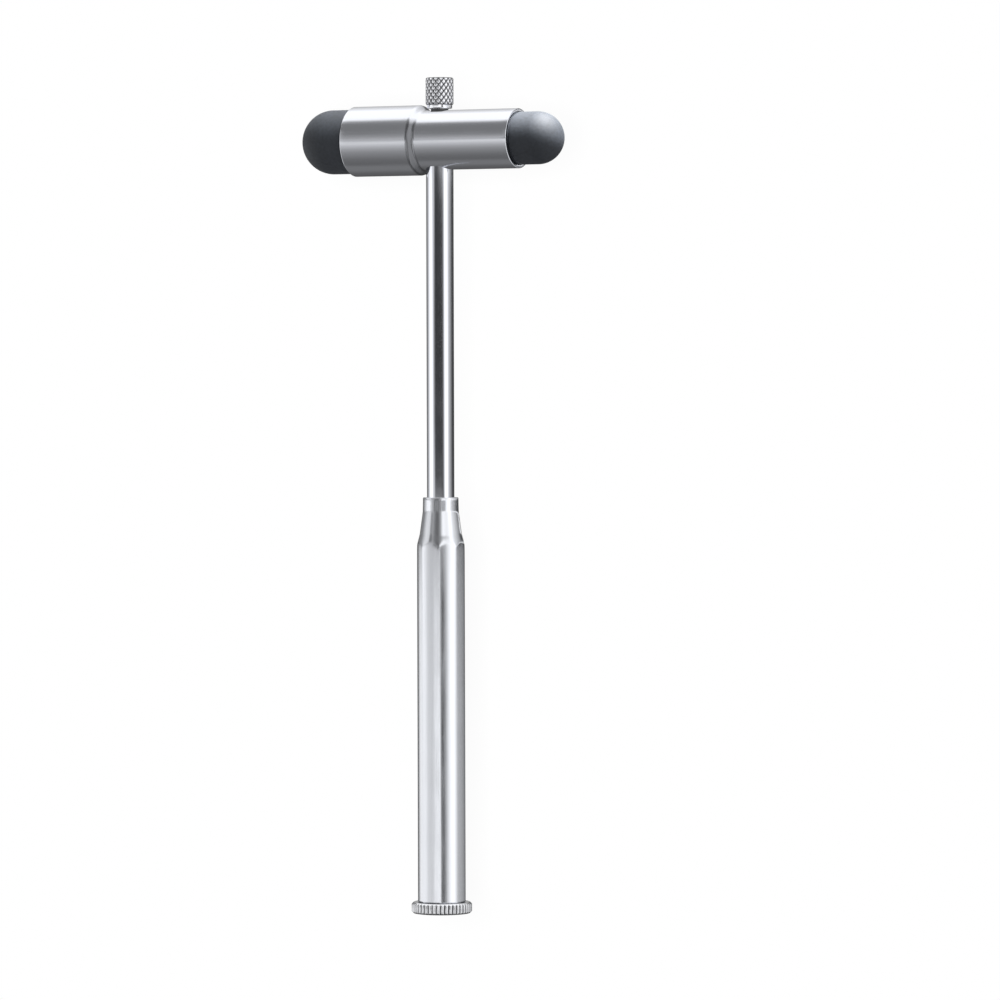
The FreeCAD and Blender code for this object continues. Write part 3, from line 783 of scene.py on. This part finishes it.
def buildKnob():
    # knurl: radius less the depth of two crossing sets of helical grooves, each with the depth
    # grooveDepth * (1 - w / grooveShare) where w, 0 to 1, is how far out of its groove a place is
    low, high = knobLow[0], knobHigh[0]
    seat = low + needleScrew["end"] - needleScrew["start"] + knob["neck"]
    angles = evenAngles(knob["diamonds"] * 15)
    addRow, grid = rowKeeper(angles)
    collarStart = seat + knob["relief"]
    knurlStart = collarStart + knob["collar"]
    around = angles * knob["diamonds"] / (2 * np.pi)
    addRow(high, 0.3)
    addRow(high, knob["radius"] - knob["edge"] - 0.06)
    for place in np.linspace(high, knurlStart, 64):
        limit = knob["radius"] - knob["edge"] + min(place - knurlStart, high - place, knob["edge"])
        lift = place / knob["diamondLength"]
        cut = 0
        for helix in (around + lift, around - lift):
            outOfGroove = 1 - np.abs(2 * np.mod(helix, 1.0) - 1)
            cut = cut + knob["grooveDepth"] * np.clip(1 - outOfGroove / knob["grooveShare"], 0, 1)
        addRow(place, np.minimum(limit, knob["radius"] - cut))
    for place, radius in ((knurlStart, knob["collarRadius"] + 0.02),
                          (knurlStart - 0.04, knob["collarRadius"]),
                          (collarStart + 0.08, knob["collarRadius"]),
                          (collarStart, knob["collarRadius"] - 0.08),
                          (collarStart, knob["reliefRadius"]), (seat, knob["reliefRadius"]),
                          (seat, knob["neckRadius"] + 0.1), (seat - 0.1, knob["neckRadius"]),
                          (seat - 0.8, knob["neckRadius"]), (needleScrew["end"] + 0.05, knob["neckRadius"])):
        addRow(place, radius)
    stub = np.arange(needleScrew["end"], needleScrew["start"], -needleScrew["pitch"] / 12)
    for place, radius in zip(stub, screwThread(stub, angles, needleScrew)):
        addRow(place, radius)
    for place, radius in ((low, 1.05), (low, knob["pinRadius"]), (low + knob["pinSeat"], knob["pinRadius"]),
                          (low + knob["pinSeat"], 0.2)):
        addRow(place, radius)
    piece = turnedMesh("needleKnob", grid(), sharp=30.0)
    # painted shade in the knurl's grooves and chamfers, in the relief under the collar and over much of the
    # end face; the pin, thread, neck and collar are left without it
    giveMaterial(piece, groovedSteel("stainlessSteelKnurled", "#DCDDE1", 0.14, 2.86, 2.96,
                                     plain=((low - 5, seat - 0.02, 1.0), (collarStart - 0.02, knurlStart, 1.0),
                                            (high - 0.02, high + 1, 0.3))))
    piece.visible_glossy = False
    ridePiece(piece, "needle_head", "needle_knob")


def buildPin():
    # a drawn pin, ground to a long point with a barely rounded tip
    low, high = nodeBox("needle_pin")
    radius = (high[1] - low[1]) / 2
    profile = roundCorners([(low[0], 0, 0), (low[0] + 0.06, 0.06, 0.05),
                            (low[0] + knob["pinPoint"], radius, 3.0), (high[0], radius, 0.1), (high[0], 0, 0)])
    rows = spinProfile(fillRows(profile, 4.0)[1:-1].T, evenAngles(48))
    piece = turnedMesh("needlePin", rows)
    giveMaterial(piece, brightSteel)
    ridePiece(piece, "needle", "needle_pin")


buildKnob()
buildPin()
print("needle built")


# ---- brush ----
disc = {"radius": 6.5, "ridges": 44, "grooveDepth": 0.3, "bevel": 0.4, "neckRadius": 3.05,
        "spigotRadius": 2.625}


def buildDisc():
    # end disc: each ridge round the rim is a low arch, falling from its crown by
    # depth * |2 s| ^ 2.2 at the share s of its width, so the grooves between are sharp
    low, high = nodeBox("brush_disc")
    thick = gripLow[0]
    angles = evenAngles(disc["ridges"] * 10)
    addRow, grid = rowKeeper(angles)
    share = np.mod(angles * disc["ridges"] / (2 * np.pi), 1.0) - 0.5
    rim = disc["radius"] - disc["grooveDepth"] * np.abs(2 * share) ** 2.2
    bevelled = np.minimum(rim, disc["radius"] - disc["bevel"])
    # the outer face has a shallow turned dish inside a flat border
    for place, radius in ((0.1, 0.4), (0.1, 3.0), (0.1, 4.9), (0.02, 5.15), (0, 5.3), (0, 5.9),
                          (0, bevelled)):
        addRow(place, radius)
    for rise in (0.25, 0.5, 0.75, 1.0):
        addRow(rise * disc["bevel"], np.minimum(rim, disc["radius"] - disc["bevel"] * (1 - rise)))
    for rise in (1.0, 0.75, 0.5, 0.25):
        addRow(thick - rise * disc["bevel"], np.minimum(rim, disc["radius"] - disc["bevel"] * (1 - rise)))
    for place, radius in ((thick, bevelled), (thick, 5.9), (thick, disc["neckRadius"] + 0.2),
                          (thick + 0.06, disc["neckRadius"] + 0.06),
                          (thick + 0.2, disc["neckRadius"]), (brushScrew["start"] - 0.05, disc["neckRadius"])):
        addRow(place, radius)
    plug = np.arange(brushScrew["start"], brushScrew["end"], brushScrew["pitch"] / 12)
    for place, radius in zip(plug, screwThread(plug, angles, brushScrew)):
        addRow(place, radius)
    for place, radius in ((brushScrew["end"], disc["neckRadius"] - 0.02),
                          (brushScrew["end"], disc["spigotRadius"]), (high[0] - 0.2, disc["spigotRadius"]),
                          (high[0], disc["spigotRadius"] - 0.2), (high[0], 0.4)):
        addRow(place, radius)
    piece = turnedMesh("endDisc", grid(), sharp=32.0)
    # painted shade in the serrations' grooves and on the outer face's bevel, the bottom edge; the dish, the
    # thread and the inner bevel are left without it
    giveMaterial(piece, groovedSteel("stainlessSteelSerrated", "#C8C9CC", 0.18, 6.22, 6.42, inner=6.05,
                                     plain=((thick - 0.36, thick + 1, 1.0),)))
    ridePiece(piece, "brush_cap", "brush_disc")


ferrule = {"wall": 0.4, "lipRadius": 2.35, "columns": 120}


def buildFerrule():
    # a drawn tube whose far end is rolled in over the bristles
    low, high = nodeBox("brush_ferrule")
    near, far = low[0], high[0]
    wall, lip = ferrule["wall"], ferrule["lipRadius"]
    outer = (high[1] - low[1]) / 2
    profile = roundCorners([
        (near + 5, outer - wall, 0), (near, outer - wall, 0.05), (near, outer, 0.1), (far, outer, 0.42),
        (far, lip, 0.14), (far - wall, lip, 0.1), (far - wall, outer - wall, 0.1), (far - 5, outer - wall, 0)])
    rows = spinProfile(fillRows(profile, 3.0).T, evenAngles(ferrule["columns"]))
    piece = turnedMesh("ferruleTube", rows, ring=True)
    giveMaterial(piece, brightSteel)
    ridePiece(piece, "brush", "brush_ferrule")


tuft = {"strands": 760, "sides": 4, "joints": 8, "radius": 0.075, "seed": 5, "spread": 1.82,
        "rootRadius": 2.18, "sunk": 0.6, "cutBelow": 0.15, "ragged": 1.3, "bow": 0.11,
        "turnSpread": 0.03, "twist": 0.05}


def buildTuft():
    # nylon strands on a sunflower pattern: strand k of n starts sqrt(k / n) of the way out at the
    # angle k * 137.5 degrees, and leans out with height by a smooth curve, with its own small bow
    low, high = nodeBox("brush_bristles")
    rng = np.random.default_rng(tuft["seed"])
    count, joints, sides = tuft["strands"], tuft["joints"], tuft["sides"]
    index = np.arange(count) + 0.5
    root = tuft["rootRadius"] * np.sqrt(index / count)
    start = index * np.radians(137.508) + rng.normal(0, tuft["turnSpread"], count)
    tip = high[0] - tuft["cutBelow"] - rng.random(count) ** 2 * tuft["ragged"]
    share = np.linspace(0, 1, joints)[None, :]
    along = low[0] - tuft["sunk"] + (tip - low[0] + tuft["sunk"])[:, None] * share
    grow = 1 + (tuft["spread"] - 1) * share ** 1.25
    radial = root[:, None] * grow + rng.normal(0, tuft["bow"], count)[:, None] * np.sin(share * np.pi * 0.6)
    radial = np.clip(radial, 0.02, 4.0)
    swing = start[:, None] + rng.normal(0, tuft["twist"], count)[:, None] * share ** 2
    middle = np.stack([along, radial * np.cos(swing), radial * np.sin(swing)], axis=2)
    thin = tuft["radius"] * np.where(share > 0.97, 0.6, 1.0)
    corner = evenAngles(sides)
    ring = np.stack([np.zeros(sides), np.cos(corner), np.sin(corner)], axis=1)
    points = middle[:, :, None, :] + thin[:, :, None, None] * ring[None, None]
    points = points.reshape(-1, 3)
    strand, joint, side = np.meshgrid(np.arange(count), np.arange(joints - 1), np.arange(sides),
                                      indexing="ij")
    base = (strand * joints + joint) * sides
    beside = (side + 1) % sides
    walls = np.stack([base + side, base + beside, base + sides + beside, base + sides + side], axis=-1)
    first = np.arange(count)[:, None] * joints * sides
    ends = np.vstack([first + np.arange(sides)[::-1], first + (joints - 1) * sides + np.arange(sides)])
    piece = meshObject("nylonTuft", points, walls.reshape(-1, 4).tolist() + ends.tolist(), 60.0)
    giveMaterial(piece, nylon)
    ridePiece(piece, "brush", "brush_bristles")


buildDisc()
buildFerrule()
buildTuft()
giveMaterial(nodes["bristle_root"], resin)
print("brush built")
